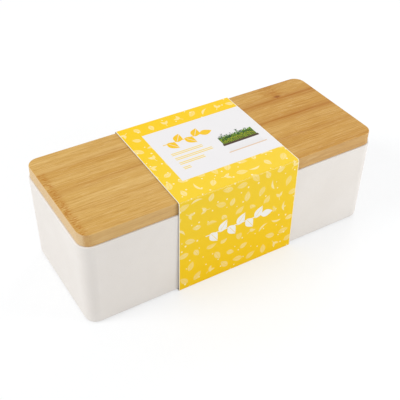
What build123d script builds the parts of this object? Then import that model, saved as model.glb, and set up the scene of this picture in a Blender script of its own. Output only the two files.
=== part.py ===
from build123d import *
import math
import os

# A windowsill grow kit: a moulded trough with a bamboo lid, held shut by a printed
# card sleeve, with pressed coir discs, seed sachets and a folded guide inside.
# Length runs along X, the front faces -Y, and z = 0 is the underside of the sleeve.

# Card sleeve, one strip folded round trough and lid and glued at the back
card_thickness = 0.4
sleeve_width = 119.5
sleeve_clearance = 0.3
crease_radius = 1.2
glue_flap_height = 15.0
glue_flap_mitre = 6.0

# Moulded trough, narrower at the base by its draft
rim_length = 292.4
rim_width = 117.2
rim_corner_radius = 11.7
trough_height = 85.2
draft_angle = 0.8
wall = 3.0
floor_thickness = 3.5
base_edge_radius = 2.0
floor_edge_radius = 3.0
rim_edge_radius = 0.7
foot_band = 11.0
foot_height = 1.2
drain_hole_diameter = 6.0
drain_columns = 4
drain_rows = 2
drain_border_length = 42.0
drain_border_width = 30.0

# Bamboo lid, a board with a rebated edge and a drip recess underneath
lid_setback = 1.2
lid_board = 12.0
lid_edge_radius = 1.0
lid_lower_edge = 0.4
plug_depth = 4.0
plug_clearance = 0.5
plug_lead_in = 0.8
plug_border = 7.0
recess_depth = 5.0
recess_corner_radius = 6.0

# Pressed coir discs, as many as the trough's floor takes
disc_diameter = 50.0
disc_thickness = 14.0
disc_gap = 1.0

# Paper seed sachets, in a row on the discs
sachet_count = 3
sachet_gap = 3.0
sachet_side_gap = 3.0
sachet_seal = 5.0
sachet_paper = 0.3
sachet_rise = 7.0
sachet_drop = 3.0
sachet_slope = 55.0
sachet_corner = 12.0

# Seeds in each sachet, blunt at one end and pointed at the other
seed_length = 11.0
seed_width = 5.6
seed_thickness = 3.6
seed_blunt_width = 2.4
seed_point_width = 0.8
seed_columns = 3
seed_rows = 4
seed_gap = 2.6

# Guide, a sheet folded like a concertina, on the sachets
guide_length = 148.0
guide_side_gap = 4.0
guide_panels = 6
guide_paper = 0.2
guide_fold_gap = 0.3

# Gap under a piece that lies loose on another
rest_gap = 0.2

# Levels
trough_base_z = card_thickness + sleeve_clearance
floor_z = trough_base_z + floor_thickness
rim_z = trough_base_z + trough_height
lid_top_z = rim_z + lid_board
disc_z = floor_z + rest_gap
sachet_z = disc_z + disc_thickness + rest_gap
seam_z = sachet_z + sachet_drop
guide_z = seam_z + sachet_rise + rest_gap

# Outlines of the base, the mouth and the flat part of the floor
base_draft = trough_height * math.tan(math.radians(draft_angle))
base_length = rim_length - 2 * base_draft
base_width = rim_width - 2 * base_draft
mouth_length = rim_length - 2 * wall
mouth_width = rim_width - 2 * wall
mouth_corner_radius = rim_corner_radius - wall
cavity_depth = trough_height - floor_thickness
floor_draft = cavity_depth * math.tan(math.radians(draft_angle))
floor_length = mouth_length - 2 * (floor_draft + floor_edge_radius)
floor_width = mouth_width - 2 * (floor_draft + floor_edge_radius)

os.makedirs("parts", exist_ok=True)

# Trough: drawn down from the rim with draft, hollowed from the mouth with the same
# draft, with a thicker floor and rounded edges inside and out.
with BuildPart() as planter_trough:
    with BuildSketch(Plane.XY.offset(rim_z)) as rim_outline:
        RectangleRounded(rim_length, rim_width, rim_corner_radius)
    extrude(amount=-trough_height, taper=draft_angle)
    outside_faces = planter_trough.faces().sort_by(Axis.Z)
    fillet(outside_faces[0].edges(), base_edge_radius)
    fillet(planter_trough.faces().sort_by(Axis.Z)[-1].edges(), rim_edge_radius)

    with BuildSketch(Plane.XY.offset(rim_z)) as mouth_outline:
        RectangleRounded(mouth_length, mouth_width, mouth_corner_radius)
    extrude(amount=-cavity_depth, taper=draft_angle, mode=Mode.SUBTRACT)
    level_faces = planter_trough.faces().filter_by(Plane.XY).sort_by(Axis.Z)
    fillet(level_faces[1].edges(), floor_edge_radius)

    # The foot is a band round the base, and the middle stands clear of the ground.
    foot_inset = base_edge_radius + foot_band
    with BuildSketch(Plane.XY.offset(trough_base_z)) as foot_opening:
        RectangleRounded(
            base_length - 2 * foot_inset,
            base_width - 2 * foot_inset,
            rim_corner_radius / 2,
        )
    extrude(amount=foot_height, mode=Mode.SUBTRACT)

    # Drainage holes, in rows through the floor.
    drain_pitch_length = (floor_length - 2 * drain_border_length) / (drain_columns - 1)
    drain_pitch_width = (floor_width - 2 * drain_border_width) / (drain_rows - 1)
    with BuildSketch(Plane.XY.offset(trough_base_z)) as drain_holes:
        with GridLocations(drain_pitch_length, drain_pitch_width, drain_columns, drain_rows):
            Circle(drain_hole_diameter / 2)
    extrude(amount=floor_thickness, mode=Mode.SUBTRACT)

planter_trough.part.label = "planter_trough"
export_step(planter_trough.part, "parts/planter_trough.step")

# Lid: the board lies on the rim, the plug under it locates in the mouth, and the
# recess in the plug catches drips when the lid is turned over as a tray.
lid_length = rim_length - 2 * lid_setback
lid_width = rim_width - 2 * lid_setback
plug_length = mouth_length - 2 * plug_clearance
plug_width = mouth_width - 2 * plug_clearance

with BuildPart() as bamboo_lid:
    with BuildSketch(Plane.XY.offset(rim_z)) as board_outline:
        RectangleRounded(lid_length, lid_width, rim_corner_radius - lid_setback)
    extrude(amount=lid_board)
    fillet(bamboo_lid.faces().sort_by(Axis.Z)[-1].edges(), lid_edge_radius)
    chamfer(bamboo_lid.faces().sort_by(Axis.Z)[0].edges(), lid_lower_edge)

    with BuildSketch(Plane.XY.offset(rim_z - plug_depth)) as plug_outline:
        RectangleRounded(plug_length, plug_width, mouth_corner_radius - plug_clearance)
    extrude(amount=plug_depth)
    chamfer(bamboo_lid.faces().sort_by(Axis.Z)[0].edges(), plug_lead_in)

    with BuildSketch(Plane.XY.offset(rim_z - plug_depth)) as recess_outline:
        RectangleRounded(
            plug_length - 2 * plug_border,
            plug_width - 2 * plug_border,
            recess_corner_radius,
        )
    extrude(amount=recess_depth, mode=Mode.SUBTRACT)

bamboo_lid.part.label = "bamboo_lid"
export_step(bamboo_lid.part, "parts/bamboo_lid.step")

# Sleeve: a closed band of card with four creases. Its glue flap is the strip's other
# end, mitred, and lies inside the foot of the back panel.
sleeve_inside_width = rim_width + 2 * sleeve_clearance
sleeve_height = lid_top_z + sleeve_clearance + card_thickness

with BuildPart() as card_sleeve:
    with BuildSketch(Plane.YZ.offset(-sleeve_width / 2)) as band_section:
        with Locations((0, sleeve_height / 2)):
            RectangleRounded(
                sleeve_inside_width + 2 * card_thickness,
                sleeve_height,
                crease_radius,
            )
            RectangleRounded(
                sleeve_inside_width,
                sleeve_height - 2 * card_thickness,
                crease_radius - card_thickness,
                mode=Mode.SUBTRACT,
            )
    extrude(amount=sleeve_width)

    flap_foot = crease_radius
    flap_head = crease_radius + glue_flap_height
    with BuildSketch(Plane.XZ.offset(-sleeve_inside_width / 2)) as flap_outline:
        Polygon(
            (-sleeve_width / 2, flap_foot),
            (sleeve_width / 2, flap_foot),
            (sleeve_width / 2 - glue_flap_mitre, flap_head),
            (glue_flap_mitre - sleeve_width / 2, flap_head),
            align=None,
        )
    extrude(amount=card_thickness)

card_sleeve.part.label = "card_sleeve"
export_step(card_sleeve.part, "parts/card_sleeve.step")

# Coir discs: flat pressed cakes, spread evenly over the floor.
disc_columns = int(floor_length // (disc_diameter + disc_gap))
disc_rows = int(floor_width // (disc_diameter + disc_gap))
disc_places = GridLocations(
    floor_length / disc_columns, floor_width / disc_rows, disc_columns, disc_rows
)

for number, place in enumerate(disc_places.locations, start=1):
    with BuildPart() as coir_disc:
        with BuildSketch(Plane.XY.offset(disc_z)) as disc_outline:
            with Locations((place.position.X, place.position.Y)):
                Circle(disc_diameter / 2)
        extrude(amount=disc_thickness)
    coir_disc.part.label = f"coir_disc_{number}"
    export_step(coir_disc.part, f"parts/coir_disc_{number}.step")

# Sachets: two sheets of paper sealed round their margin, filled out between into a
# pillow that lies flat on the discs. The pillow is added, then cut again one sheet
# further in, which leaves it hollow.
sachet_pitch = (floor_length - sachet_gap) / sachet_count
sachet_length = sachet_pitch - sachet_gap
sachet_width = floor_width - 2 * sachet_side_gap
seam_plane = Plane.XY.offset(seam_z)
sachet_places = GridLocations(sachet_pitch, sachet_width, sachet_count, 1)
sachet_middles = [place.position.X for place in sachet_places.locations]

for number, sachet_x in enumerate(sachet_middles, start=1):
    with BuildPart() as seed_sachet:
        with BuildSketch(seam_plane.offset(-sachet_paper)) as seal_outline:
            with Locations((sachet_x, 0)):
                Rectangle(sachet_length, sachet_width)
        extrude(amount=2 * sachet_paper)
        for inset, mode in ((0, Mode.ADD), (sachet_paper, Mode.SUBTRACT)):
            with BuildSketch(seam_plane) as pillow_outline:
                with Locations((sachet_x, 0)):
                    Rectangle(
                        sachet_length - 2 * (sachet_seal + inset),
                        sachet_width - 2 * (sachet_seal + inset),
                    )
                chamfer(pillow_outline.vertices(), sachet_corner - inset)
            extrude(amount=sachet_rise - inset, taper=sachet_slope, mode=mode)
            extrude(
                pillow_outline.sketch,
                amount=inset - sachet_drop,
                taper=sachet_slope,
                mode=mode,
            )
    seed_sachet.part.label = f"seed_sachet_{number}"
    export_step(seed_sachet.part, f"parts/seed_sachet_{number}.step")

# Seeds: each is its outline from above, trimmed to its outline from the side. They
# lie on the sachet's lower sheet.
seed_middle_z = sachet_z + sachet_paper + rest_gap + seed_thickness / 2
seed_pitch_length = seed_length + seed_gap
seed_pitch_width = seed_width + seed_gap

for number, sachet_x in enumerate(sachet_middles, start=1):
    with BuildPart() as seeds:
        with BuildSketch(Plane.XY.offset(seed_middle_z)) as seed_plans:
            with Locations((sachet_x, 0)):
                with GridLocations(
                    seed_pitch_length, seed_pitch_width, seed_columns, seed_rows
                ):
                    Polygon(
                        (-seed_length / 2, seed_blunt_width / 2),
                        (-seed_length / 2, -seed_blunt_width / 2),
                        (-seed_length / 5, -seed_width / 2),
                        (seed_length / 2, -seed_point_width / 2),
                        (seed_length / 2, seed_point_width / 2),
                        (-seed_length / 5, seed_width / 2),
                        align=None,
                    )
        extrude(amount=seed_thickness, both=True)
        with BuildSketch(Plane.XZ) as seed_sides:
            with Locations((sachet_x, seed_middle_z)):
                with GridLocations(seed_pitch_length, seed_pitch_width, seed_columns, 1):
                    Polygon(
                        (-seed_length / 2, 0),
                        (-seed_length / 5, -seed_thickness / 2),
                        (seed_length / 5, -seed_thickness / 2),
                        (seed_length / 2, 0),
                        (seed_length / 5, seed_thickness / 2),
                        (-seed_length / 5, seed_thickness / 2),
                        align=None,
                    )
        extrude(amount=seed_rows * seed_pitch_width, both=True, mode=Mode.INTERSECT)
    seeds.part.label = f"seeds_{number}"
    export_step(seeds.part, f"parts/seeds_{number}.step")

# Guide: panels stacked one above the next, joined by a round fold at alternate ends.
panel_pitch = guide_paper + guide_fold_gap
fold_radius = panel_pitch / 2
guide_width = sachet_width - 2 * guide_side_gap
panel_reach = guide_width / 2 - fold_radius - guide_paper / 2

with BuildPart() as growing_guide:
    with BuildSketch(Plane.YZ.offset(-guide_length / 2)) as guide_section:
        with BuildLine() as guide_fold:
            for panel in range(guide_panels):
                level = guide_z + guide_paper / 2 + panel * panel_pitch
                end = panel_reach if panel % 2 == 0 else -panel_reach
                Line((-end, level), (end, level))
                if panel < guide_panels - 1:
                    bulge = math.copysign(panel_reach + fold_radius, end)
                    ThreePointArc(
                        (end, level), (bulge, level + fold_radius), (end, level + panel_pitch)
                    )
        trace(line_width=guide_paper)
    extrude(amount=guide_length)

growing_guide.part.label = "growing_guide"
export_step(growing_guide.part, "parts/growing_guide.step")
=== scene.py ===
import bmesh
import bpy
import math
import random

from mathutils import Matrix, Vector, noise


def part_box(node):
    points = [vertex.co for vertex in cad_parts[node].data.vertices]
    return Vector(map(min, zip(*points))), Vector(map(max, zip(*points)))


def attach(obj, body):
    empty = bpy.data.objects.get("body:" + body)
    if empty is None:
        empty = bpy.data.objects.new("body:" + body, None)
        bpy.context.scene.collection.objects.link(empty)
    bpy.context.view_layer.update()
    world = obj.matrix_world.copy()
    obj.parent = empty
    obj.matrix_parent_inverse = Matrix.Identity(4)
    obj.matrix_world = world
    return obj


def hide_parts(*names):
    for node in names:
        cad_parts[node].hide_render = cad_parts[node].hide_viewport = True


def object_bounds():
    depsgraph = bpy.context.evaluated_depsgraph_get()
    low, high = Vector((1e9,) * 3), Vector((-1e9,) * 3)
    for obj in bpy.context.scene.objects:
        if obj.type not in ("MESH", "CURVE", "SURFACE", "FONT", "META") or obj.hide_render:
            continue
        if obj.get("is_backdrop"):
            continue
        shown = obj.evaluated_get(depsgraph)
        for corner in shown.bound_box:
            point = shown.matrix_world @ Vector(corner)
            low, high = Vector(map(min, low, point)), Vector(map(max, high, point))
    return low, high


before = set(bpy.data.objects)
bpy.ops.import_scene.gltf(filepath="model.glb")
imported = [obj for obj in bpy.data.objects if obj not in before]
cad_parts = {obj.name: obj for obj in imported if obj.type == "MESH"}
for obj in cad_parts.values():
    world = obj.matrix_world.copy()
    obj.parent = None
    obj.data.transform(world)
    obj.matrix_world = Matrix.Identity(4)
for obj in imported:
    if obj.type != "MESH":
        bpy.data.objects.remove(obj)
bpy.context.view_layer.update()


# Planter trough
# The real one is a thick-walled trough moulded in a matt warm-white compound of plant
# fibre and resin, drawn down from the rim with a little draft.
MM = 0.001
TROUGH_WHITE = (0.792, 0.752, 0.710)
TROUGH_CLOUD = (0.814, 0.776, 0.736)
TROUGH_FLECK = (0.640, 0.585, 0.525)


class Varying:
    """A number, place or colour that varies over a surface. Sums on it become nodes."""

    def __init__(self, tree, socket):
        self.tree = tree
        self.socket = socket

    def __add__(self, other):
        return maths("ADD", self, other)

    def __sub__(self, other):
        return maths("SUBTRACT", self, other)

    def __rsub__(self, other):
        return maths("SUBTRACT", other, self)

    def __mul__(self, other):
        return maths("MULTIPLY", self, other)

    def __truediv__(self, other):
        return maths("DIVIDE", self, other)

    def __abs__(self):
        return maths("ABSOLUTE", self)


def set_inputs(node, inputs):
    """Links each named or numbered input to what varies, and sets it to what doesn't."""
    for name, value in inputs.items():
        socket = node.inputs[name]
        if isinstance(value, Varying):
            value.tree.links.new(value.socket, socket)
        elif socket.type == "RGBA":
            socket.default_value = (*value, 1.0)
        else:
            socket.default_value = value


def add_node(tree, kind, inputs):
    """A new node of a kind, with its inputs."""
    node = tree.nodes.new(kind)
    set_inputs(node, inputs)
    return node


def maths(operation, *values):
    """One Math node on values of which at least one varies."""
    tree = next(value.tree for value in values if isinstance(value, Varying))
    node = add_node(tree, "ShaderNodeMath", dict(enumerate(values)))
    node.operation = operation
    return Varying(tree, node.outputs[0])


def vector_maths(operation, *values):
    """One Vector Math node on a place that varies and perhaps another."""
    tree = values[0].tree
    node = add_node(tree, "ShaderNodeVectorMath", dict(enumerate(values)))
    node.operation = operation
    return Varying(tree, node.outputs["Value" if operation == "LENGTH" else "Vector"])


def stretched(place, x_factor, y_factor, z_factor):
    """A place with a factor on each of its coordinates."""
    return vector_maths("MULTIPLY", place, (x_factor, y_factor, z_factor))


def ramped(value, low, high, start=0.0, end=1.0):
    """A value eased from start to end as it goes from low to high."""
    parts = dict(enumerate((value, low, high, start, end)))
    node = add_node(value.tree, "ShaderNodeMapRange", parts)
    node.interpolation_type = "SMOOTHSTEP"
    return Varying(value.tree, node.outputs[0])


def blended(share, first, second):
    """Two colours mixed by a share."""
    node = share.tree.nodes.new("ShaderNodeMix")
    node.data_type = "RGBA"
    set_inputs(node, {0: share, 6: first, 7: second})
    return Varying(share.tree, node.outputs[2])


def grain(place, scale, detail=3.0, roughness=0.55, distortion=0.0):
    """Cloudy noise, with about so many clouds to a millimetre."""
    inputs = {"Vector": place, "Scale": scale, "Detail": detail}
    inputs.update({"Roughness": roughness, "Distortion": distortion})
    node = add_node(place.tree, "ShaderNodeTexNoise", inputs)
    return Varying(place.tree, node.outputs["Fac"])


def relief(shader, height, depth, strength):
    """Puts a height on a shader as bump, of that depth in metres."""
    inputs = {"Height": height, "Distance": depth, "Strength": strength}
    node = add_node(height.tree, "ShaderNodeBump", inputs)
    set_inputs(shader, {"Normal": Varying(height.tree, node.outputs["Normal"])})


def new_finish(name):
    """A new material, its node tree and its shader."""
    material = bpy.data.materials.new(name)
    material.use_nodes = True
    tree = material.node_tree
    return material, tree, tree.nodes["Principled BSDF"]


def place_in_mm(tree):
    """Object coordinates in millimetres, the unit of the sizes in every finish."""
    coordinates = tree.nodes.new("ShaderNodeTexCoord")
    return stretched(Varying(tree, coordinates.outputs["Object"]), 1 / MM, 1 / MM, 1 / MM)


def moulded_compound():
    """Matt warm white, faintly clouded and flecked, with a fine moulded texture."""
    material, tree, shader = new_finish("moulded_compound")
    place = place_in_mm(tree)
    cloud = ramped(grain(place, 0.022, 4.0), 0.35, 0.65)
    colour = blended(cloud, TROUGH_WHITE, TROUGH_CLOUD)
    fleck = ramped(grain(place, 0.9, 2.0, 0.6), 0.66, 0.74, 0.0, 0.35)
    colour = blended(fleck, colour, TROUGH_FLECK)
    rubbed = ramped(grain(place, 0.12), 0.3, 0.7, 0.50, 0.60)
    set_inputs(shader, {"Base Color": colour, "Roughness": rubbed, "Specular IOR Level": 0.35})
    relief(shader, grain(place, 2.2, roughness=0.7), 0.04 * MM, 0.35)
    return material


def carry(node, material):
    """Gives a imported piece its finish."""
    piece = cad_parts[node]
    piece.data.materials.clear()
    piece.data.materials.append(material)


carry("planter_trough", moulded_compound())


# Coir discs
# Flat cakes of coconut fibre, pressed dry, that swell in water. They are pressed in a
# ring mould, which leaves a straight edge and a rough, fibrous face.
COIR_PITH = (0.060, 0.030, 0.014)
COIR_BROWN = (0.230, 0.128, 0.058)
COIR_STRAND = (0.400, 0.250, 0.125)
DISC_SIDES = 72
DISC_EDGE_ROUND = 1.3 * MM
DISC_RINGS = (2.5, 3.5, 4.0, 4.5, 4.0)
DISC_WALL_CUTS = 5
DISC_DISH = 0.9 * MM
DISC_DISH_REACH = 0.8
DISC_FACE_PITS = 0.35 * MM
DISC_WALL_PITS = 0.4 * MM
DISC_WALL_START = 0.9
PITS_PER_METRE = 900
DISCS_APART = 7.3


def new_piece(name, shape, material, body, node):
    """Makes a piece of a shape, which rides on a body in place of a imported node."""
    mesh = bpy.data.meshes.new(name)
    shape.to_mesh(mesh)
    shape.free()
    piece = bpy.data.objects.new(name, mesh)
    bpy.context.scene.collection.objects.link(piece)
    piece.data.materials.append(material)
    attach(piece, body)
    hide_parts(node)
    return piece


def nodes_named(start):
    """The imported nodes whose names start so, in order."""
    return sorted(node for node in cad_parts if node.startswith(start))


def smooth_all(shape):
    """Shades every face of a shape smooth."""
    for face in shape.faces:
        face.smooth = True


def pressed_fibre():
    """Brown pith with paler and darker strands, rough all over."""
    material, tree, shader = new_finish("pressed_fibre")
    place = place_in_mm(tree)
    strands = grain(stretched(place, 0.35, 1.3, 0.8), 0.75, 6.0, 0.75, 1.6)
    crossing = grain(stretched(place, 1.4, 0.3, 0.8), 0.7, 5.0, 0.7, 1.2)
    colour = blended(ramped(strands, 0.38, 0.62), COIR_PITH, COIR_BROWN)
    colour = blended(ramped(crossing, 0.60, 0.68, 0.0, 0.8), colour, COIR_STRAND)
    set_inputs(shader, {"Base Color": colour, "Roughness": 0.92})
    relief(shader, strands + crossing, 0.6 * MM, 0.8)
    return material


def upright_length(edge):
    """How far an edge of a shape rises."""
    return abs(edge.verts[0].co.z - edge.verts[1].co.z)


def wide_faces(shape):
    """The two round faces of a disc."""
    return [face for face in shape.faces if len(face.verts) > 8]


def coir_disc(lowest, highest, number):
    """A pressed cake inside the box of its node, dished a little and rough on its faces."""
    radius = (highest.x - lowest.x) / 2
    thick = highest.z - lowest.z
    shape = bmesh.new()
    bmesh.ops.create_cone(
        shape, cap_ends=True, cap_tris=False, segments=DISC_SIDES,
        radius1=radius, radius2=radius, depth=thick,
    )
    rims = [edge for edge in shape.edges if upright_length(edge) < 0.001 * MM]
    bmesh.ops.bevel(
        shape, geom=rims, offset=DISC_EDGE_ROUND, affect="EDGES", segments=3, profile=0.5,
        material=-1,
    )
    for ring in DISC_RINGS:
        bmesh.ops.inset_individual(shape, faces=wide_faces(shape), thickness=ring * MM, depth=0.0)
    bmesh.ops.poke(shape, faces=wide_faces(shape))
    walls = [edge for edge in shape.edges if upright_length(edge) > thick / 2]
    bmesh.ops.subdivide_edges(shape, edges=walls, cuts=DISC_WALL_CUTS, use_grid_fill=True)
    for vertex in shape.verts:
        away = vertex.co.xy.length / radius
        pit = vertex.co * PITS_PER_METRE + Vector((number * DISCS_APART, 0, 0))
        rough = 0.5 + 0.5 * noise.noise(pit)
        dish = DISC_DISH * max(0.0, 1 - (away / DISC_DISH_REACH) ** 2)
        if abs(vertex.co.z) > thick / 2 - 0.2 * MM:
            vertex.co.z -= math.copysign(dish + DISC_FACE_PITS * rough, vertex.co.z)
        if away > DISC_WALL_START:
            vertex.co.xy *= 1 - DISC_WALL_PITS * rough / radius
    bmesh.ops.translate(shape, verts=shape.verts, vec=(lowest + highest) / 2)
    smooth_all(shape)
    return shape


coir_finish = pressed_fibre()
for number, node in enumerate(nodes_named("coir_disc_")):
    shape = coir_disc(*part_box(node), number)
    new_piece(f"pressed_{node}", shape, coir_finish, "box", node)


# Seeds
# Striped seeds for sprouting, blunt at one end and pointed at the other, loose in
# their sachets.
SHELL_BLACK = (0.022, 0.019, 0.017)
SHELL_STRIPE = (0.420, 0.390, 0.340)
SEED_COLUMNS = 3
SEED_ROWS = 4
SEED_LONG = 11.0 * MM
SEED_WIDE = 5.4 * MM
SEED_FULLNESS = 0.98
SEED_TAPER = 0.28
SEED_ROUNDING = 0.10
SEED_TURN = 0.5


def seed_shell():
    """Near-black shell with pale stripes from end to end."""
    material, tree, shader = new_finish("seed_shell")
    stripes = grain(stretched(place_in_mm(tree), 0.12, 2.6, 2.6), 0.6, roughness=0.6)
    colour = blended(ramped(stripes, 0.50, 0.56), SHELL_BLACK, SHELL_STRIPE)
    set_inputs(shader, {"Base Color": colour, "Roughness": 0.5})
    relief(shader, stripes, 0.2 * MM, 0.5)
    return material


def add_seed(shape, high, turn, spot):
    """One seed along X, narrower towards its point, turned and set down on a spot."""
    made = bmesh.ops.create_uvsphere(shape, u_segments=14, v_segments=10, radius=0.5)["verts"]
    for vertex in made:
        along = vertex.co.x * 2
        narrow = 1 - SEED_TAPER * (along + 1) * 0.5 - SEED_ROUNDING * along * along
        vertex.co.y *= narrow
        vertex.co.z *= narrow
    bmesh.ops.scale(shape, verts=made, vec=(SEED_LONG, SEED_WIDE, high * SEED_FULLNESS))
    bmesh.ops.rotate(shape, verts=made, cent=(0, 0, 0), matrix=Matrix.Rotation(turn, 3, "Z"))
    bmesh.ops.translate(shape, verts=made, vec=spot)


seed_finish = seed_shell()
spilled = random.Random(11)
for node in nodes_named("seeds_"):
    lowest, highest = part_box(node)
    size = highest - lowest
    column_pitch = (size.x - SEED_LONG) / (SEED_COLUMNS - 1)
    row_pitch = (size.y - SEED_WIDE) / (SEED_ROWS - 1)
    shape = bmesh.new()
    for column in range(SEED_COLUMNS):
        for row in range(SEED_ROWS):
            turn = spilled.uniform(-SEED_TURN, SEED_TURN) + math.pi * spilled.randint(0, 1)
            x = lowest.x + SEED_LONG / 2 + column * column_pitch
            y = lowest.y + SEED_WIDE / 2 + row * row_pitch
            add_seed(shape, size.z, turn, (x, y, (lowest.z + highest.z) / 2))
    smooth_all(shape)
    new_piece(f"loose_{node}", shape, seed_finish, "box", node)


# Seed sachets
# Two sheets of brown paper heat-sealed round their margin, with a ribbed seal, filled
# out between into a soft pillow that creases towards its corners.
KRAFT_BROWN = (0.400, 0.262, 0.142)
KRAFT_PALE = (0.490, 0.335, 0.192)
KRAFT_SHRED = (0.235, 0.140, 0.070)
SEAL_WIDTH = 5.5 * MM
SEAM_HEIGHT = 3.0 * MM
PAPER_HALF_GAP = 0.15 * MM
SACHET_TOP_ROOM = 0.3 * MM
SACHET_FOOT_ROOM = 0.2 * MM
RIB_HEIGHT = 0.12 * MM
RIB_PITCH = 1.4 * MM
SWELL_STEEPNESS = 2.1
SWELL_POWER = 0.75
FOLDS_PER_METRE = 130
SACHETS_APART = 9
SHEETS_APART = 3.0
EDGE_FOLD = 0.16
FLAT_FOLD = 0.05


def kraft_paper():
    """Brown paper with fine fibres and faint darker shreds."""
    material, tree, shader = new_finish("kraft_paper")
    place = place_in_mm(tree)
    pulp = grain(place, 0.55, 5.0, 0.7)
    shreds = grain(stretched(place, 0.25, 1.6, 1.0), 1.1, 3.0, 0.6, 0.8)
    colour = blended(ramped(pulp, 0.35, 0.65), KRAFT_BROWN, KRAFT_PALE)
    colour = blended(ramped(shreds, 0.62, 0.70, 0.0, 0.45), colour, KRAFT_SHRED)
    set_inputs(shader, {"Base Color": colour, "Roughness": 0.78})
    relief(shader, pulp, 0.12 * MM, 0.5)
    return material


def pillow_swell(inner_x, inner_y, fold):
    """How full the pillow is, from how far in a point lies, less where it creases."""
    share_x = min(1.0, inner_x * SWELL_STEEPNESS)
    share_y = min(1.0, inner_y * SWELL_STEEPNESS)
    swell = (math.sin(share_x * math.pi / 2) * math.sin(share_y * math.pi / 2)) ** SWELL_POWER
    edge = 1 - min(share_x, share_y)
    return swell * (1 - EDGE_FOLD * edge * fold - FLAT_FOLD * fold)


def sachet(lowest, highest, number):
    """A sealed pillow within its node's box, with ribs along the seal and soft creases."""
    seam = Vector(((lowest.x + highest.x) / 2, (lowest.y + highest.y) / 2, lowest.z + SEAM_HEIGHT))
    length = highest.x - lowest.x
    width = highest.y - lowest.y
    rises = {1: highest.z - seam.z - SACHET_TOP_ROOM, -1: SEAM_HEIGHT - SACHET_FOOT_ROOM}
    shape = bmesh.new()
    for side, rise in rises.items():
        made = bmesh.ops.create_grid(shape, x_segments=66, y_segments=72, size=0.5)["verts"]
        for vertex in made:
            x = vertex.co.x * length
            y = vertex.co.y * width
            inner_x = 1 - abs(x) / (length / 2 - SEAL_WIDTH)
            inner_y = 1 - abs(y) / (width / 2 - SEAL_WIDTH)
            swell = 0.0
            ribs = 0.0
            if inner_x > 0 and inner_y > 0:
                fold_x = x * FOLDS_PER_METRE + number * SACHETS_APART
                fold = noise.noise(Vector((fold_x, y * FOLDS_PER_METRE, side * SHEETS_APART)))
                swell = pillow_swell(inner_x, inner_y, abs(fold))
            else:
                outward = abs(x) if inner_x <= 0 else abs(y)
                ribs = RIB_HEIGHT * math.sin(outward * 2 * math.pi / RIB_PITCH)
            z = side * (PAPER_HALF_GAP + rise * swell) + ribs
            vertex.co = seam + Vector((x, y, z))
        if side < 0:
            faces = {face for vertex in made for face in vertex.link_faces}
            bmesh.ops.reverse_faces(shape, faces=list(faces))
    bmesh.ops.bridge_loops(shape, edges=[edge for edge in shape.edges if edge.is_boundary])
    bmesh.ops.recalc_face_normals(shape, faces=shape.faces)
    smooth_all(shape)
    return shape


kraft_finish = kraft_paper()
for number, node in enumerate(nodes_named("seed_sachet_"), start=1):
    shape = sachet(*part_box(node), number)
    new_piece(f"paper_{node}", shape, kraft_finish, "box", node)


# Growing guide
# One long sheet of uncoated paper, printed on its faces and folded like a concertina.
# It lies loose on the sachets, under the lid.
GUIDE_PULP = (0.775, 0.770, 0.735)
GUIDE_PALE = (0.835, 0.830, 0.800)
GUIDE_GREY = (0.100, 0.105, 0.095)
GUIDE_GREEN = (0.090, 0.300, 0.060)
RULE_PITCH = 5.2
COLUMN_HALF = 36.0
BAND_MIDDLE = 36.0


def split(place):
    """The three numbers of a place or colour."""
    node = add_node(place.tree, "ShaderNodeSeparateXYZ", {0: place})
    return [Varying(place.tree, output) for output in node.outputs]


def joined(x, y, z=0.0):
    """A place from three numbers, the first of which varies."""
    node = add_node(x.tree, "ShaderNodeCombineXYZ", {0: x, 1: y, 2: z})
    return Varying(x.tree, node.outputs[0])


def guide_sheet():
    """Off-white paper with a green band and short grey rules in columns."""
    material, tree, shader = new_finish("guide_sheet")
    place = place_in_mm(tree)
    x, y = split(place)[:2]
    pulp = grain(place, 0.8, 4.0, 0.6)
    colour = blended(pulp, GUIDE_PULP, GUIDE_PALE)
    rules = ramped(maths("PINGPONG", y, RULE_PITCH / 2), 0.45, 0.60, 1.0, 0.0)
    margins = ramped(maths("PINGPONG", x, COLUMN_HALF), 4.0, 4.4)
    ragged = ramped(grain(joined(x * 0.02, maths("SNAP", y, RULE_PITCH)), 1.4), 0.4, 0.45)
    colour = blended(rules * (margins * ragged) * 0.55, colour, GUIDE_GREY)
    band = ramped(abs(y - BAND_MIDDLE), 3.4, 3.6, 0.9, 0.0)
    colour = blended(band, colour, GUIDE_GREEN)
    set_inputs(shader, {"Base Color": colour, "Roughness": 0.72})
    relief(shader, pulp, 0.04 * MM, 0.4)
    return material


carry("growing_guide", guide_sheet())


# Bamboo lid
# A board of flattened bamboo strips glued edge to edge, planed, sanded and oiled. The
# strips run the length of the lid and show their fibres, growth nodes and end grain.
BAMBOO_BODY = (0.620, 0.360, 0.090)
BAMBOO_PALE = (0.705, 0.450, 0.148)
BAMBOO_AMBER = (0.520, 0.235, 0.018)
BAMBOO_STREAK = (0.440, 0.190, 0.024)
BAMBOO_DARK_HAIR = (0.440, 0.215, 0.048)
# a painted glint: pale dashes along the fibres
BAMBOO_PAINTED_GLINT = (0.800, 0.565, 0.255)
BAMBOO_SEAM = (0.400, 0.140, 0.008)
BAMBOO_NODE = (0.450, 0.165, 0.014)
BAMBOO_SWIRL = (0.470, 0.205, 0.030)
BAMBOO_BUD = (0.300, 0.090, 0.006)
BAMBOO_END = (0.730, 0.545, 0.315)
BAMBOO_PORE = (0.500, 0.300, 0.120)
BAMBOO_SIDE = (0.660, 0.455, 0.230)
PLANK_WIDTH = 29.0
FIRST_SEAM = -55.0
PLANKS_APART = 9.7
PLANK_TONE_STEP = 2.6
PLANK_TONE_START = -4.66
LAST_FRONT_PLANK = 2.5
FIBRE_WAVER = 3.0
FRONT_NODE_X = -141.5
BACK_NODE_X = 104.5
NODE_WANDER = 6.0
BUD_PLACE = (104.0, 35.8, 97.9)


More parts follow.
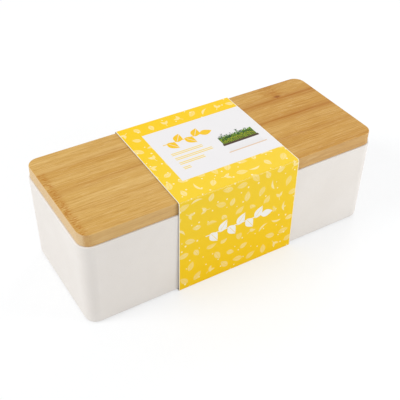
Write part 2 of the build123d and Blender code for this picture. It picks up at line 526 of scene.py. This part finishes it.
def plank_colour(plank, darker_end, bands, streaks, hairs_and_glints):
    """The planks' own tones, with bands, streaks and dark hair lines along them, and painted glints: pale
    dashes along the fibres.
    """
    colour = blended(ramped(bands, 0.30, 0.70), BAMBOO_BODY, BAMBOO_PALE)
    tone = maths("COSINE", plank * PLANK_TONE_STEP + PLANK_TONE_START) * 0.5 + 0.5
    colour = blended(tone * 0.16 + darker_end * 0.44, colour, BAMBOO_AMBER)
    streak_depth = darker_end * 0.40 + 0.42
    colour = blended(ramped(streaks, 0.50, 0.63) * streak_depth, colour, BAMBOO_STREAK)
    colour = blended(ramped(hairs_and_glints, 0.52, 0.66, 0.0, 0.62), colour, BAMBOO_DARK_HAIR)
    # painted glints: pale dashes where the fine fibre noise is lowest
    return blended(ramped(hairs_and_glints, 0.47, 0.34, 0.0, 0.55), colour, BAMBOO_PAINTED_GLINT)


def seam_share(planks, darker_end, bands, streaks):
    """Thin glue lines between planks, in a broad soft halo, deeper towards the back."""
    from_seam = maths("PINGPONG", planks, 0.5) * PLANK_WIDTH
    line = ramped(from_seam, 0.5, 3.0, 1.0, 0.0) * ramped(streaks, 0.35, 0.60, 0.6, 1.0)
    halo = ramped(from_seam, 1.0, 10.0, 0.55, 0.0) * ramped(bands, 0.30, 0.65, 0.5, 1.0)
    depth = ramped(maths("ROUND", planks), 1.0, 2.0, 0.22, 0.62) * (darker_end * 0.95 + 0.50)
    return maths("MAXIMUM", line, halo) * depth


def with_growth_nodes(colour, place, x, plank):
    """A speckled mark across each plank, and a swirl with a bud in the back one."""
    at_back = maths("GREATER_THAN", plank, LAST_FRONT_PLANK)
    node_x = at_back * (BACK_NODE_X - FRONT_NODE_X) + FRONT_NODE_X
    wander = (grain(stretched(place, 0.0, 0.09, 0.09), 1.0) - 0.5) * NODE_WANDER
    past = abs(x - node_x - wander)
    speckle = grain(stretched(place, 0.22, 0.85, 0.85), 1.0, 5.0, 0.8)
    mark = ramped(past, 1.0, 6.5, 1.0, 0.0) * ramped(speckle, 0.45, 0.57)
    colour = blended(mark * 0.85, colour, BAMBOO_NODE)
    swirl = grain(stretched(place, 0.055, 0.10, 0.10), 1.0, distortion=2.2)
    swirled = ramped(past, 3.0, 19.0, 1.0, 0.0) * at_back
    colour = blended(swirled * ramped(swirl, 0.46, 0.60, 0.0, 0.75), colour, BAMBOO_SWIRL)
    from_bud = stretched(vector_maths("SUBTRACT", place, BUD_PLACE), 0.24, 0.44, 0.4)
    bud = ramped(vector_maths("LENGTH", from_bud), 0.2, 1.3, 0.95, 0.0)
    return blended(bud, colour, BAMBOO_BUD)


def with_end_grain(colour, place, tree):
    """Paler ends with the pores of cut fibres, and somewhat paler long sides."""
    coordinates = tree.nodes.new("ShaderNodeTexCoord")
    facing = split(Varying(tree, coordinates.outputs["Normal"]))
    cut_fibres = stretched(place, 0.02, 1.0, 1.0)
    pores = add_node(tree, "ShaderNodeTexVoronoi", {"Vector": cut_fibres, "Scale": 1.5})
    pore = ramped(Varying(tree, pores.outputs["Distance"]), 0.18, 0.42, 0.65, 0.0)
    end_face = ramped(abs(facing[0]), 0.55, 0.80, 0.0, 0.85)
    colour = blended(end_face, colour, blended(pore, BAMBOO_END, BAMBOO_PORE))
    return blended(ramped(abs(facing[1]), 0.55, 0.80, 0.0, 0.45), colour, BAMBOO_SIDE)


def oiled_bamboo():
    """Planks of uneven tone along X, fine fibres, growth nodes, and pores on the ends."""
    material, tree, shader = new_finish("oiled_bamboo")
    place = place_in_mm(tree)
    x, y, z = split(place)
    planks = (y - FIRST_SEAM) / PLANK_WIDTH
    plank = maths("FLOOR", planks)
    across = grain(stretched(place, 0.012, 0.05, 0.05), 1.0, 2.0) * FIBRE_WAVER + y

    def fibres(length_scale, width_scale, detail, roughness, distortion=0.0):
        drawn_y = across * width_scale + plank * PLANKS_APART
        drawn = joined(x * length_scale, drawn_y, z * (width_scale * 0.4))
        return grain(drawn, 1.0, detail, roughness, distortion)

    bands = fibres(0.0050, 0.11, 4.0, 0.55)
    streaks = fibres(0.012, 0.90, 5.0, 0.74, 0.06)
    hairs_and_glints = fibres(0.060, 1.7, 4.0, 0.7)
    darker_end = ramped(x, -20.0, 110.0)
    colour = plank_colour(plank, darker_end, bands, streaks, hairs_and_glints)
    colour = blended(seam_share(planks, darker_end, bands, streaks), colour, BAMBOO_SEAM)
    colour = with_growth_nodes(colour, place, x, plank)
    colour = with_end_grain(colour, place, tree)
    rubbed = ramped(streaks, 0.3, 0.7, 0.46, 0.60)
    set_inputs(shader, {"Base Color": colour, "Roughness": rubbed, "Specular IOR Level": 0.12})
    relief(shader, streaks + hairs_and_glints, 0.08 * MM, 0.35)
    return material


carry("bamboo_lid", oiled_bamboo())


# Card sleeve
# A strip of coated card, printed yellow outside and bare inside, creased four times
# round the closed kit. Its last flap is mitred and glued inside the foot of the back.
CARD_THICK = 0.4 * MM
CREASE = 2.2 * MM
FOOT_CREASE = 1.1 * MM
FLAP_HEIGHT = 15.0 * MM
FLAP_MITRE = 6.0 * MM
FLAP_SLACK = 0.02 * MM
BACK_LIFT = 0.3 * MM
SLEEVE_SKEW = 1.1 * MM
SLEEVE_CREEP = 0.2 * MM
CARD_BOW = 0.2 * MM

SIDE_STEPS = 14
TOP_STEPS = 18
FLAP_STEPS = 3
CREASE_STEPS = 6
LENGTH_STEPS = 20

# inks and papers
# the full yellow ink, and a paler yellow that the ink's own mottle leans to a little and that a painted
# sheen pales the ground towards
YELLOW_INK = (0.945, 0.600, 0.0)
INK_MOTTLE_AND_PAINTED_SHEEN = (0.908, 0.630, 0.030)
MOTIF_PALE = (0.965, 0.860, 0.520)
SPRIG_WHITE = (0.900, 0.890, 0.850)
CRACK_PALE = (0.930, 0.880, 0.700)
CUT_PALE = (0.930, 0.910, 0.850)
CARD_PULP = (0.760, 0.735, 0.690)
CARD_PALE = (0.840, 0.820, 0.785)
LABEL_PAPER = (0.822, 0.806, 0.814)
LABEL_PALE = (0.842, 0.826, 0.834)
EMBLEM_INK = (0.900, 0.560, 0.020)
RULE_INK = (0.900, 0.650, 0.080)
THICKET_DARK = (0.003, 0.016, 0.003)
THICKET_GREEN = (0.110, 0.210, 0.004)
SOIL_BROWN = (0.070, 0.040, 0.018)
GROUND_TAN = (0.760, 0.560, 0.400)
PICTURE_SHADE = (0.420, 0.410, 0.400)

# motifs, by half their length and half their width, with the share of cells that each has
LEAF_MOTIF = (5.5, 2.8)
LEAF_CELLS = (-0.1, 0.46)
SPROUT_BLADE = (3.1, 1.35)
SPROUT_CELLS = (0.46, 0.58)
SEED_MOTIF = (4.4, 2.5)
SEED_CELLS = (0.58, 0.82)
GRASS_MOTIF = (5.6, 1.1)
GRASS_CELLS = (0.82, 0.97)
GRASS_CURVE = 0.05
LEAF_TAPER = 0.3
VEIN_PITCH = 0.7
VEIN_SLANT = 0.9
MOTIF_PITCH = 14.0
MOTIF_WANDER = 3.4
DOT_PITCH = 11.0
DOT_WANDER = 8.5
SMALLEST_DOT = 0.50
DOT_GROWTH = 0.45

# sprigs: how far a leaf's middle lies back and out, by its half length, and its lean
SPRIG_LEAF_BACK = 0.16
SPRIG_LEAF_OUT = 0.62
SPRIG_LEAF_LEAN = 0.95
FRONT_SPRIG_MIDDLE = -3.0
FRONT_SPRIG_HEIGHT = 52.0
CLEAR_LEFT = -38.0
CLEAR_RIGHT = 36.0
CLEAR_FOOT = 40.0
CLEAR_TOP = 64.0

# the label, on the flat strip, whose origin is the middle of the top panel
LABEL_SIDES = (-42.6, 70.0, -35.0, 39.9)
EMBLEM_X = -12.0
EMBLEM_Y = 17.5
RULE_LEFT = -33.0
RULE_LENGTHS = (31.0, 37.0, 25.0, 7.0)
FIRST_RULE = 2.4
RULE_DROP = 7.2
RULE_PAIR = (0.0, 2.2)
RULE_HALF = 0.6
PICTURE_LEFT = 15.0
PICTURE_RIGHT = 50.5
PICTURE_HEIGHT = 30.0
SOIL_LEVEL = -8.2
SOIL_FOOT = SOIL_LEVEL - 1.6
GROUND_TOP = SOIL_LEVEL - 11.2
GROUND_FOOT = GROUND_TOP - 1.4
CREASE_LINE = 0.4

card_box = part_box("card_sleeve")
half_width = (card_box[1].y - card_box[0].y) / 2


def greatest(first, *others):
    """The greatest of some values."""
    for other in others:
        first = maths("MAXIMUM", first, other)
    return first


def soft_mask(distance, edge=0.12):
    """One inside a shape and nought outside, from a distance that is negative inside."""
    return ramped(distance, -edge, edge, 1.0, 0.0)


def turned(x, y, angle):
    """A place in the plane, turned by an angle in radians, which may vary."""
    if isinstance(angle, Varying):
        cosine = maths("COSINE", angle)
        sine = maths("SINE", angle)
    else:
        cosine = math.cos(angle)
        sine = math.sin(angle)
    return x * cosine + y * sine, y * cosine - x * sine


def leaf_mask(x, y, half_length, half_wide, veins=False, edge=0.12):
    """A pointed leaf along X about the origin, perhaps with a bare midrib and veins."""
    share = x / half_length
    fullness = (1.0 - share * share) * (1.0 - share * LEAF_TAPER)
    side = abs(y)
    mask = soft_mask(side - fullness * half_wide, edge)
    mask = mask * maths("LESS_THAN", abs(share), 1.0)
    if veins:
        from_vein = maths("PINGPONG", side * -VEIN_SLANT + x, VEIN_PITCH)
        vein = ramped(from_vein, 0.10, 0.28, 0.35, 1.0)
        rib = ramped(side, 0.10, 0.26, 0.15, 1.0)
        mask = mask * (vein * rib)
    return mask


def oval_mask(x, y, radius_x, radius_y, edge):
    """An oval about the origin."""
    wide = x / radius_x
    high = y / radius_y
    reach = maths("SQRT", wide * wide + high * high)
    return ramped(reach, 1 - edge, 1 + edge, 1.0, 0.0)


def box_mask(x, y, left, right, low, high, edge=0.10):
    """A rectangle between four sides."""
    across = abs(x - (left + right) / 2) - (right - left) / 2
    along = abs(y - (low + high) / 2) - (high - low) / 2
    return soft_mask(greatest(across, along), edge)


def chances(cell, dimensions):
    """Four chances from nought to one that a whole-numbered cell has to itself."""
    node = add_node(cell.tree, "ShaderNodeTexWhiteNoise", {"Vector": cell})
    node.noise_dimensions = dimensions
    return (*split(Varying(cell.tree, node.outputs["Color"])), Varying(cell.tree, node.outputs["Value"]))


def scattered(x, y, pitch, seed, wander):
    """Staggered cells: a place from the wandering middle of its cell, and three chances."""
    up = y / pitch
    row = maths("FLOOR", up)
    over = row * 0.5 + x / pitch
    column = maths("FLOOR", over)
    first, second, third, fourth = chances(joined(column, row, seed), "3D")
    local_x = (over - column - 0.5) * pitch + (first - 0.5) * wander
    local_y = (up - row - 0.5) * pitch + (second - 0.5) * wander
    return local_x, local_y, (first, third, fourth)


def chosen(chance, low, high):
    """One where a chance lies between two values."""
    return maths("GREATER_THAN", chance, low) * maths("LESS_THAN", chance, high)


def sprout_mask(x, y):
    """Two blades that part from the top of a short stalk."""
    blade_x, blade_y = turned(x - 0.9, abs(y) - 1.5, 0.6)
    blades = leaf_mask(blade_x, blade_y, *SPROUT_BLADE, edge=0.25)
    return greatest(blades, box_mask(x, y, -5.2, -0.9, -0.30, 0.30))


def strewn_motifs(x, y):
    """Pale leaves, two-leaved sprouts, seeds and blades, one to a cell, and dots between."""
    local_x, local_y, (first, spin, kind) = scattered(x, y, MOTIF_PITCH, 3.0, MOTIF_WANDER)
    spun_x, spun_y = turned(local_x, local_y, spin * (2 * math.pi))
    curved_y = spun_x * spun_x * GRASS_CURVE + (spun_y - 0.5)
    motifs = greatest(
        leaf_mask(spun_x, spun_y, *LEAF_MOTIF, veins=True, edge=0.3) * chosen(kind, *LEAF_CELLS),
        sprout_mask(spun_x, spun_y) * chosen(kind, *SPROUT_CELLS),
        leaf_mask(spun_x, spun_y, *SEED_MOTIF, veins=True, edge=0.3) * chosen(kind, *SEED_CELLS),
        leaf_mask(spun_x, curved_y, *GRASS_MOTIF, edge=0.25) * chosen(kind, *GRASS_CELLS),
    )
    dot_x, dot_y, (size, presence, _) = scattered(x, y, DOT_PITCH, 8.0, DOT_WANDER)
    radius = size * DOT_GROWTH + SMALLEST_DOT
    dots = oval_mask(dot_x, dot_y, radius, radius, 0.2) * maths("LESS_THAN", presence, 0.8)
    return greatest(motifs * (first * 0.30 + 0.40), dots * 0.95)


def sprig_mask(x, y, leaves, pitch, half_length, half_wide):
    """A lying stem with leaves that lean out on either side by turns, about the origin."""
    half = leaves * pitch / 2
    over = (x + half) / pitch
    cell = maths("FLOOR", over)
    side = maths("MODULO", cell, 2.0) * 2.0 - 1.0
    local_x = (over - cell - 0.5) * pitch - SPRIG_LEAF_BACK * half_length
    local_y = y * side - SPRIG_LEAF_OUT * half_length
    leaf_x, leaf_y = turned(local_x, local_y, SPRIG_LEAF_LEAN)
    midrib = ramped(abs(leaf_y), 0.10, 0.30)
    blades = leaf_mask(leaf_x, leaf_y, half_length, half_wide) * midrib
    inside = box_mask(x, y, -half, half, -3 * half_length, 3 * half_length)
    stem = box_mask(x, y, -half - 3.0, half, -0.45, 0.45)
    tip = leaf_mask(x - (half + 0.7 * half_length), y, half_length * 0.9, half_wide * 0.9)
    return greatest(blades * inside, stem, tip)


def seedling_row(x, y, pitch, seed, tall):
    """A row of seedlings on y = 0: one stem to a cell, each with two round leaves."""
    over = x / pitch
    cell = maths("FLOOR", over)
    first, second = chances(joined(cell, seed), "2D")[:2]
    height = first * (tall / 2) + tall / 2
    lean = second * 0.8 - 0.4
    from_stem = abs((over - cell - 0.5) * pitch - lean * (y / height))
    standing = maths("GREATER_THAN", y, 0.0) * maths("LESS_THAN", y, height)
    stem = soft_mask(from_stem - 0.16, 0.06) * standing
    beside = from_stem - 0.62
    leaves = oval_mask(beside, y - height - beside * 0.5, 0.72, 0.42, 0.15)
    return greatest(stem, leaves)


def front_height(height):
    """The print's place along the strip for a height in millimetres on the front panel."""
    panel = (card_box[1].z - card_box[0].z) / MM
    return -(half_width / MM + panel - height) + (2 - math.pi / 2) * CREASE / MM


def yellow_print(x, y, ink):
    """The yellow ground, mottled, and paled by a painted sheen from the foot of the front up to the front
    crease and less towards the back, with the strewn motifs and a white sprig.
    """
    foot = front_height(0.0)
    # painted sheen: the ground paled from the foot of the front up to the front crease, and less so over the
    # top towards the back
    painted_sheen = ramped(y, foot, foot + 95.0) * ramped(y, -35.0, 45.0, 1.0, 0.25)
    colour = blended(ink * 0.3 + painted_sheen * 0.85, YELLOW_INK, INK_MOTTLE_AND_PAINTED_SHEEN)
    clear_sides = (CLEAR_LEFT, CLEAR_RIGHT, front_height(CLEAR_FOOT), front_height(CLEAR_TOP))
    clear = box_mask(x, y, *clear_sides, edge=1.0)
    colour = blended(strewn_motifs(x, y) * (1.0 - clear), colour, MOTIF_PALE)
    sprig_y = y - front_height(FRONT_SPRIG_HEIGHT)
    sprig = sprig_mask(x - FRONT_SPRIG_MIDDLE, sprig_y, leaves=6, pitch=9.2, half_length=7.0, half_wide=4.2)
    return blended(sprig, colour, SPRIG_WHITE)


def with_seedlings(colour, x, y):
    """The label's picture: seedlings on a strip of soil, over one thin ground line."""
    sides = (PICTURE_LEFT, PICTURE_RIGHT)
    within = box_mask(x, y, *sides, SOIL_LEVEL, SOIL_LEVEL + PICTURE_HEIGHT, 0.2)
    up = y - SOIL_LEVEL
    thicket = grain(joined(x, y * 0.45), 1.5, roughness=0.7)
    mass = maths("LESS_THAN", up, thicket * 16.0 + 3.5) * within
    greens = blended(ramped(thicket, 0.42, 0.60), THICKET_DARK, THICKET_GREEN)
    colour = blended(mass, colour, greens)
    # pitch, seed, height and green of each row, from the back one to the front one
    rows = (
        (1.3, 1.0, 16.5, (0.004, 0.030, 0.004)),
        (1.7, 6.0, 15.5, (0.010, 0.085, 0.006)),
        (2.3, 2.0, 14.0, (0.060, 0.230, 0.006)),
        (1.9, 3.0, 12.0, (0.240, 0.370, 0.004)),
        (1.5, 5.0, 9.5, (0.006, 0.045, 0.004)),
        (1.4, 4.0, 7.5, (0.400, 0.400, 0.004)),
    )
    for pitch, seed, tall, green in rows:
        colour = blended(seedling_row(x, up, pitch, seed, tall) * within, colour, green)
    soil = box_mask(x, y, PICTURE_LEFT - 1.0, PICTURE_RIGHT + 1.0, SOIL_FOOT, SOIL_LEVEL + 3.0, 0.15)
    colour = blended(soil * maths("LESS_THAN", up, thicket * 1.6 + 0.4), colour, SOIL_BROWN)
    ground = box_mask(x, y, PICTURE_LEFT - 2.0, PICTURE_RIGHT + 2.0, GROUND_FOOT, GROUND_TOP, 0.15)
    colour = blended(ground, colour, GROUND_TAN)
    shade_top = SOIL_LEVEL - 1.4
    shade = box_mask(x, y, *sides, GROUND_TOP, shade_top, 0.3) * ramped(y, GROUND_TOP, shade_top, 0.10, 0.02)
    return blended(shade, colour, PICTURE_SHADE)


def label_print(x, y, ink):
    """The white label: an orange sprig, four double rules and the picture."""
    colour = blended(ink, LABEL_PAPER, LABEL_PALE)
    emblem = sprig_mask(x - EMBLEM_X, y - EMBLEM_Y, leaves=4, pitch=9.0, half_length=7.0, half_wide=4.3)
    colour = blended(emblem, colour, EMBLEM_INK)
    for rule, length in enumerate(RULE_LENGTHS):
        for part in RULE_PAIR:
            level = FIRST_RULE - rule * RULE_DROP - part
            ends = (RULE_LEFT, RULE_LEFT + length)
            line = box_mask(x, y, *ends, level - RULE_HALF, level + RULE_HALF, 0.15)
            colour = blended(line * 0.85, colour, RULE_INK)
    return with_seedlings(colour, x, y)


def with_wear(colour, place, x, y):
    """Print that has cracked a little along its creases, and ends at pale cut edges."""
    from_crease = abs(abs(y) - (half_width / MM - CREASE_LINE))
    crack = ramped(grain(place, 0.9, roughness=0.7), 0.50, 0.62, 0.05, 0.45)
    worn = ramped(from_crease, 0.2, 1.0, 1.0, 0.0) * crack
    colour = blended(worn, colour, CRACK_PALE)
    cut = (card_box[1].x - card_box[0].x) / 2 / MM
    frayed = ramped(abs(x), cut - 0.75, cut - 0.35, 0.0, 0.85)
    return blended(frayed, colour, CUT_PALE)


def printed_card():
    """Yellow print with strewn pale motifs, a white sprig on the front and a white label."""
    material, tree, shader = new_finish("printed_card")
    own = tree.nodes.new("ShaderNodeUVMap")
    own.uv_map = "strip"
    place = stretched(Varying(tree, own.outputs["UV"]), 1 / MM, 1 / MM, 1 / MM)
    x, y = split(place)[:2]
    ink = grain(place, 0.05)
    label = box_mask(x, y, *LABEL_SIDES, 0.12)
    colour = blended(label, yellow_print(x, y, ink), label_print(x, y, ink))
    colour = with_wear(colour, place, x, y)
    pressed = ramped(grain(place, 0.25), 0.3, 0.7, 0.42, 0.52)
    set_inputs(shader, {"Base Color": colour, "Roughness": pressed, "Specular IOR Level": 0.14})
    relief(shader, grain(place, 1.2, roughness=0.6), 0.02 * MM, 0.4)
    return material


def bare_card():
    """The uncoated side and the raw edges: off-white pulp."""
    material, tree, shader = new_finish("bare_card")
    pulp = grain(place_in_mm(tree), 0.9, 5.0, 0.7)
    set_inputs(shader, {"Base Color": blended(pulp, CARD_PULP, CARD_PALE), "Roughness": 0.85})
    relief(shader, pulp, 0.05 * MM, 0.5)
    return material


def crease_arc(centre_y, centre_z, radius, first, last):
    """Points round a crease in the YZ plane, from one angle to another, in degrees."""
    turns = [first + (last - first) * n / CREASE_STEPS for n in range(1, CREASE_STEPS)]
    return [
        (
            centre_y + radius * math.cos(math.radians(turn)),
            centre_z + radius * math.sin(math.radians(turn)),
        )
        for turn in turns
    ]


def straight(start, end, steps):
    """Points along a panel, its ends too."""
    return [
        (start[0] + (end[0] - start[0]) * n / steps, start[1] + (end[1] - start[1]) * n / steps)
        for n in range(steps + 1)
    ]


def strip_section():
    """The strip's outer line, from the foot of the back over the top and under to the flap."""
    half = half_width
    top = card_box[1].z
    tuck = half - CARD_THICK - FLAP_SLACK
    points = straight((half, BACK_LIFT), (half, top - CREASE), SIDE_STEPS)
    points += crease_arc(half - CREASE, top - CREASE, CREASE, 0, 90)
    points += straight((half - CREASE, top), (CREASE - half, top), TOP_STEPS)
    points += crease_arc(CREASE - half, top - CREASE, CREASE, 90, 180)
    points += straight((-half, top - CREASE), (-half, FOOT_CREASE), SIDE_STEPS)
    points += crease_arc(FOOT_CREASE - half, FOOT_CREASE, FOOT_CREASE, 180, 270)
    points += straight((FOOT_CREASE - half, 0.0), (tuck - FOOT_CREASE, 0.0), SIDE_STEPS)
    points += crease_arc(tuck - FOOT_CREASE, FOOT_CREASE, FOOT_CREASE, 270, 360)
    points += straight((tuck, FOOT_CREASE), (tuck, FOOT_CREASE + FLAP_HEIGHT), FLAP_STEPS)
    return points


def flat_strip(shape, along, rank):
    """Draws the strip's outer line out along X, with its UV map, and says where its flap starts."""
    points = strip_section()
    left, right = card_box[0].x, card_box[1].x
    top = card_box[1].z
    walked = [0.0]
    for before, after in zip(points, points[1:]):
        walked.append(walked[-1] + math.dist(before, after))
    on_top = [distance for distance, (y, z) in zip(walked, points) if abs(z - top) < 1e-7]
    top_middle = sum(on_top) / len(on_top)
    row = []
    for number, (distance, (y, z)) in enumerate(zip(walked, points)):
        vertex = shape.verts.new((left, y, z))
        vertex[along] = top_middle - distance
        vertex[rank] = number
        row.append(vertex)
    edges = [shape.edges.new(pair) for pair in zip(row, row[1:])]
    for step in range(LENGTH_STEPS):
        made = bmesh.ops.extrude_edge_only(shape, edges=edges)["geom"]
        moved = {part for part in made if isinstance(part, bmesh.types.BMVert)}
        edges = [
            part for part in made if isinstance(part, bmesh.types.BMEdge) and moved.issuperset(part.verts)
        ]
        bmesh.ops.translate(shape, verts=list(moved), vec=((right - left) / LENGTH_STEPS, 0, 0))
    strip = shape.loops.layers.uv.new("strip")
    for face in shape.faces:
        for loop in face.loops:
            loop[strip].uv = (loop.vert.co.x, loop.vert[along])
    return len(points) - FLAP_STEPS


def folded_strip():
    """The strip as it sits: its flap mitred, its panels bowed in a little, and askew."""
    shape = bmesh.new()
    along = shape.verts.layers.float.new("along")
    rank = shape.verts.layers.int.new("rank")
    flap_start = flat_strip(shape, along, rank)
    left, right = card_box[0].x, card_box[1].x
    top = card_box[1].z
    for vertex in shape.verts:
        x, y, z = vertex.co
        up_the_flap = vertex[rank] - flap_start
        if up_the_flap > 0:
            mitre = FLAP_MITRE * up_the_flap / (FLAP_STEPS - 1)
            vertex.co.x = x * (1 - mitre / right)
        bow = math.cos(math.pi * x / (right - left)) * CARD_BOW
        if z > top - 1e-6:
            vertex.co.z -= bow * math.cos(math.pi * y / (2 * half_width))
        elif abs(abs(y) - half_width) < 1e-6:
            panel = math.sin(math.pi * min(1, max(0, z / top)))
            vertex.co.y -= math.copysign(bow * panel, y)
        vertex.co.x += y / half_width * (SLEEVE_SKEW + SLEEVE_CREEP * (1 - z / top))
    upward = max(shape.faces, key=lambda face: face.calc_center_median().z)
    if upward.normal.z < 0:
        bmesh.ops.reverse_faces(shape, faces=shape.faces)
    smooth_all(shape)
    return shape


sleeve = new_piece("printed_sleeve", folded_strip(), printed_card(), "sleeve", "card_sleeve")
sleeve.data.materials.append(bare_card())
thickness = sleeve.modifiers.new("card", "SOLIDIFY")
thickness.thickness = CARD_THICK
thickness.offset = -1.0
thickness.use_even_offset = True
thickness.material_offset = 1
thickness.material_offset_rim = 1
evened = sleeve.modifiers.new("evened", "WEIGHTED_NORMAL")
evened.weight = 100


# Studio
# A white table in a white room. Of three soft lamps the strongest stands up to the left,
# one behind to the right, and a small one low in front to the right.
FLOOR_HALF = 6.0
FLOOR_IN_LIGHT = (0.80, 0.80, 0.80)
FLOOR_SEEN = (0.97, 0.985, 1.0)
FLOOR_GLOW_NEAR = 0.56
FLOOR_GLOW_START = 0.35
FLOOR_GLOW_END = 1.1
ROOM_STRENGTH = 0.71
KIT_MIDDLE = (0, 0, 0.04)
FILL_AIM = (0.10, 0, 0.04)
CAMERA_PLACE = Vector((-0.2928, -0.4622, 0.4765))
CAMERA_AIM = Vector((-0.0124, -0.0131, 0.0507))
CAMERA_ROLL = 1.07
CAMERA_LENS = 67.9
CAMERA_SENSOR = 36.0


def seen_rays(tree):
    """One for the camera's own rays and for those that gloss or glass passes on."""
    path = tree.nodes.new("ShaderNodeLightPath")
    names = ("Is Camera Ray", "Is Glossy Ray", "Is Transmission Ray")
    return greatest(*(Varying(tree, path.outputs[name]) for name in names))


def studio_floor():
    material, tree, shader = new_finish("studio_floor")
    seen = seen_rays(tree)
    colour = blended(seen, FLOOR_IN_LIGHT, FLOOR_SEEN)
    set_inputs(shader, {"Base Color": colour, "Roughness": 0.9, "Specular IOR Level": 0.0})
    glow = add_node(tree, "ShaderNodeEmission", {"Color": (1.0, 1.0, 1.0), "Strength": 1.0})
    away = vector_maths("LENGTH", place_in_mm(tree))
    spread = ramped(away, FLOOR_GLOW_START / MM, FLOOR_GLOW_END / MM, FLOOR_GLOW_NEAR, 1.0)
    mix = add_node(tree, "ShaderNodeMixShader", {0: seen * spread})
    tree.links.new(shader.outputs[0], mix.inputs[1])
    tree.links.new(glow.outputs[0], mix.inputs[2])
    tree.links.new(mix.outputs[0], tree.nodes["Material Output"].inputs["Surface"])
    return material


shape = bmesh.new()
bmesh.ops.create_grid(shape, x_segments=1, y_segments=1, size=FLOOR_HALF)
floor_mesh = bpy.data.meshes.new("studio_floor")
shape.to_mesh(floor_mesh)
shape.free()
floor = bpy.data.objects.new("studio_floor", floor_mesh)
floor.data.materials.append(studio_floor())
bpy.context.scene.collection.objects.link(floor)
floor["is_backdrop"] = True


def soft_lamp(name, place, aim, width, power):
    """A square area lamp at a place, turned to a point."""
    data = bpy.data.lights.new(name, "AREA")
    data.shape = "SQUARE"
    data.size = width
    data.energy = power
    lamp = bpy.data.objects.new(name, data)
    bpy.context.scene.collection.objects.link(lamp)
    lamp.location = place
    lamp.rotation_euler = (Vector(aim) - Vector(place)).to_track_quat("-Z", "Y").to_euler()


soft_lamp("key_lamp", (-1.6, 0.3, 1.3), KIT_MIDDLE, width=0.8, power=15.5)
soft_lamp("back_lamp", (1.3, 1.0, 1.1), KIT_MIDDLE, width=0.8, power=5.0)
soft_lamp("fill_lamp", (0.7, -0.65, 0.30), FILL_AIM, width=0.4, power=2.7)

world = bpy.data.worlds.new("studio_room")
bpy.context.scene.world = world
world.use_nodes = True
room = world.node_tree
strength = ramped(seen_rays(room), 0.0, 1.0, ROOM_STRENGTH, 1.0)
set_inputs(room.nodes["Background"], {"Color": (1, 1, 1), "Strength": strength})

camera_data = bpy.data.cameras.new("camera")
camera_data.lens = CAMERA_LENS
camera_data.sensor_width = CAMERA_SENSOR
camera = bpy.data.objects.new("camera", camera_data)
bpy.context.scene.collection.objects.link(camera)
facing = (CAMERA_AIM - CAMERA_PLACE).to_track_quat("-Z", "Y").to_matrix().to_4x4()
roll = Matrix.Rotation(math.radians(CAMERA_ROLL), 4, "Z")
camera.matrix_world = Matrix.Translation(CAMERA_PLACE) @ facing @ roll
bpy.context.scene.camera = camera
bpy.context.scene.view_settings.view_transform = "Standard"

lowest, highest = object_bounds()
